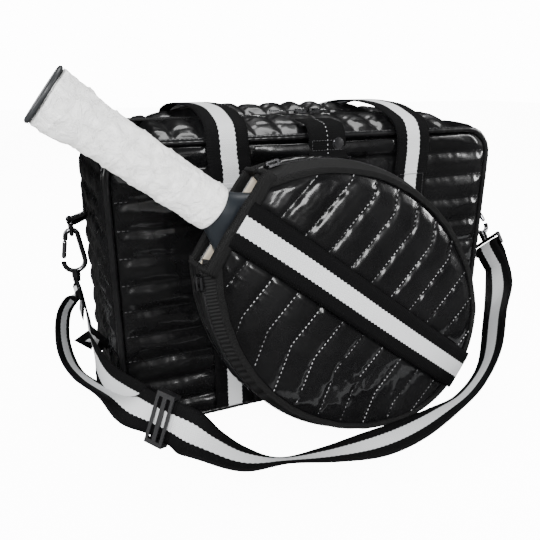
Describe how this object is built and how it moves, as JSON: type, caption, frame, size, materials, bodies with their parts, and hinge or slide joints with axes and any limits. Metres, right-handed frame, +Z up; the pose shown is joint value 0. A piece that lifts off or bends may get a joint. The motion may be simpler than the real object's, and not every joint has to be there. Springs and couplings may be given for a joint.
{
  "type": "quilted tote bag with paddle case",
  "caption": "Padded zip-top tote with a teardrop paddle case on its front, a paddle in the case, striped webbing handles and a clip-on shoulder strap.",
  "frame": {"origin": "centre of the bag's flat bottom face", "axes": "+Z up; front of the bag, with the paddle case, towards -Y; +X to the right seen from the front"},
  "size_m": [0.5173, 0.352, 0.3384],
  "materials": {
    "gloss_shell": "glossy coated puffer nylon",
    "webbing": "matt woven webbing and tape",
    "stripe": "pale woven stripe",
    "lining": "plain lining cloth",
    "gunmetal": "dark polished plating",
    "coil": "moulded nylon",
    "grip_wrap": "slightly glossy wrinkled wrap",
    "slate": "satin composite",
    "edge": "matt edge guard"
  },
  "bodies": {
    "bag": {"bag_front_panel": "gloss_shell", "bag_back_panel": "gloss_shell", "bag_left_gusset": "gloss_shell", "bag_right_gusset": "gloss_shell", "bag_bottom": "gloss_shell", "bag_front_piping": "webbing", "bag_rear_piping": "webbing", "front_handle_legs": "webbing", "front_leg_stripes": "stripe", "rear_handle_legs": "webbing", "rear_leg_stripes": "stripe", "hanger_tab": "webbing", "hanger_snap": "gunmetal", "left_ring_tab": "webbing", "right_ring_tab": "webbing"},
    "top_front": {"top_flap_front": "gloss_shell", "main_tape_front": "webbing", "main_coil_front": "coil"},
    "top_rear": {"top_flap_rear": "gloss_shell", "main_tape_rear": "webbing", "main_coil_rear": "coil"},
    "zip_right": {"main_slider_right": "gunmetal"},
    "zip_left": {"main_slider_left": "gunmetal"},
    "pull_right": {"main_puller_right": "gunmetal"},
    "pull_left": {"main_puller_left": "gunmetal"},
    "front_handle": {"front_handle_loop": "webbing", "front_loop_stripe": "stripe"},
    "rear_handle": {"rear_handle_loop": "webbing", "rear_loop_stripe": "stripe"},
    "hanger": {"hanger_ring": "gunmetal"},
    "ring_left": {"left_ring": "gunmetal"},
    "ring_right": {"right_ring": "gunmetal"},
    "strap": {"left_hook": "gunmetal", "left_eye": "gunmetal", "right_hook": "gunmetal", "right_eye": "gunmetal", "shoulder_strap": "webbing", "strap_return": "webbing", "strap_adjuster": "gunmetal"},
    "gate_left": {"left_gate": "gunmetal"},
    "gate_right": {"right_gate": "gunmetal"},
    "case": {"case_back_panel": "gloss_shell", "case_gusset": "gloss_shell", "case_tape_rear": "webbing", "case_coil_rear": "coil", "case_rear_binding": "webbing", "case_lining": "lining", "case_rear_mouth": "webbing"},
    "case_front": {"case_front_mouth": "webbing", "case_front_panel": "gloss_shell", "case_front_binding": "webbing", "case_tape_front": "webbing", "case_coil_front": "coil", "case_webbing": "webbing", "case_webbing_stripe": "stripe"},
    "case_zip_upper": {"case_slider_upper": "gunmetal"},
    "case_zip_lower": {"case_slider_lower": "gunmetal"},
    "paddle": {"paddle_face": "slate", "paddle_edge_guard": "edge", "paddle_neck": "slate", "paddle_grip": "grip_wrap", "paddle_butt_cap": "slate"}
  },
  "joints": [
    {"name": "top_zip_right", "type": "slide", "parent": "bag", "child": "zip_right", "axis": [1, 0, 0], "range_m": [0, 0.12]},
    {"name": "top_zip_left", "type": "slide", "parent": "bag", "child": "zip_left", "axis": [1, 0, 0], "range_m": [-0.12, 0]},
    {"name": "top_front_fold", "type": "hinge", "parent": "bag", "child": "top_front", "pos_m": [0, -0.0795, 0.285], "axis": [1, 0, 0], "range_deg": [-25, 0]},
    {"name": "top_rear_fold", "type": "hinge", "parent": "bag", "child": "top_rear", "pos_m": [0, 0.0795, 0.285], "axis": [1, 0, 0], "range_deg": [0, 25]},
    {"name": "pull_right_lift", "type": "hinge", "parent": "zip_right", "child": "pull_right", "pos_m": [0.034, 0, 0.2956], "axis": [0, -1, 0], "range_deg": [0, 110]},
    {"name": "pull_left_lift", "type": "hinge", "parent": "zip_left", "child": "pull_left", "pos_m": [0.018, 0, 0.2956], "axis": [0, 1, 0], "range_deg": [0, 110]},
    {"name": "front_handle_lift", "type": "hinge", "parent": "bag", "child": "front_handle", "pos_m": [0, -0.0951, 0.2365], "axis": [1, 0, 0], "range_deg": [0, 50]},
    {"name": "rear_handle_lift", "type": "hinge", "parent": "bag", "child": "rear_handle", "pos_m": [0, 0.0985, 0.2315], "axis": [1, 0, 0], "range_deg": [0, 140]},
    {"name": "hanger_ring_swing", "type": "hinge", "parent": "bag", "child": "hanger", "pos_m": [0, -0.0967, 0.2568], "axis": [1, 0, 0], "range_deg": [-45, 0]},
    {"name": "left_ring_swing", "type": "hinge", "parent": "bag", "child": "ring_left", "pos_m": [-0.233, 0.01, 0.194], "axis": [0, 1, 0], "range_deg": [-4, 4]},
    {"name": "right_ring_swing", "type": "hinge", "parent": "bag", "child": "ring_right", "pos_m": [0.233, -0.042, 0.194], "axis": [0, 1, 0], "range_deg": [-4, 4]},
    {"name": "strap_swing", "type": "hinge", "parent": "bag", "child": "strap", "pos_m": [-0.233, 0.01, 0.1844], "axis": [-0.9938, 0.1109, 0], "range_deg": [0, 45]},
    {"name": "left_gate_open", "type": "hinge", "parent": "strap", "child": "gate_left", "pos_m": [-0.24275, 0.01, 0.1574], "axis": [0, 1, 0], "range_deg": [0, 18]},
    {"name": "right_gate_open", "type": "hinge", "parent": "strap", "child": "gate_right", "pos_m": [0.24275, -0.05935, 0.16372], "axis": [0, 0.766, -0.6428], "range_deg": [-18, 0]},
    {"name": "case_lift", "type": "slide", "parent": "bag", "child": "case", "axis": [0, 0, -1], "range_m": [-0.1, 0]},
    {"name": "case_zip", "type": "hinge", "parent": "case", "child": "case_zip_upper", "pos_m": [-0.04307, -0.16767, 0.08563], "axis": [0.0365, -0.9955, 0.0872], "range_deg": [-88, 0]},
    {"name": "case_zip_mirror", "type": "hinge", "parent": "case", "child": "case_zip_lower", "pos_m": [0.03108, -0.15648, 0.18237], "axis": [0.0365, -0.9955, 0.0872], "range_deg": [0, 88]},
    {"name": "case_front_open", "type": "hinge", "parent": "case", "child": "case_front", "pos_m": [0.11481, -0.16572, 0.04182], "axis": [-0.6058, -0.0914, -0.7903], "range_deg": [-5, 0]},
    {"name": "paddle_tip_out", "type": "hinge", "parent": "case", "child": "paddle", "pos_m": [0.11481, -0.16572, 0.04182], "axis": [-0.6058, -0.0914, -0.7903], "range_deg": [-2.5, 0]}
  ],
  "couplings": [
    {"joint": "top_zip_left", "follows": "top_zip_right", "ratio": -1},
    {"joint": "top_front_fold", "follows": "top_zip_right", "rad_per_m": -3.636},
    {"joint": "top_rear_fold", "follows": "top_zip_right", "rad_per_m": 3.636},
    {"joint": "case_zip_mirror", "follows": "case_zip", "ratio": -1},
    {"joint": "case_front_open", "follows": "case_zip", "ratio": 0.0563},
    {"joint": "paddle_tip_out", "follows": "case_zip", "ratio": 0.0279}
  ]
}
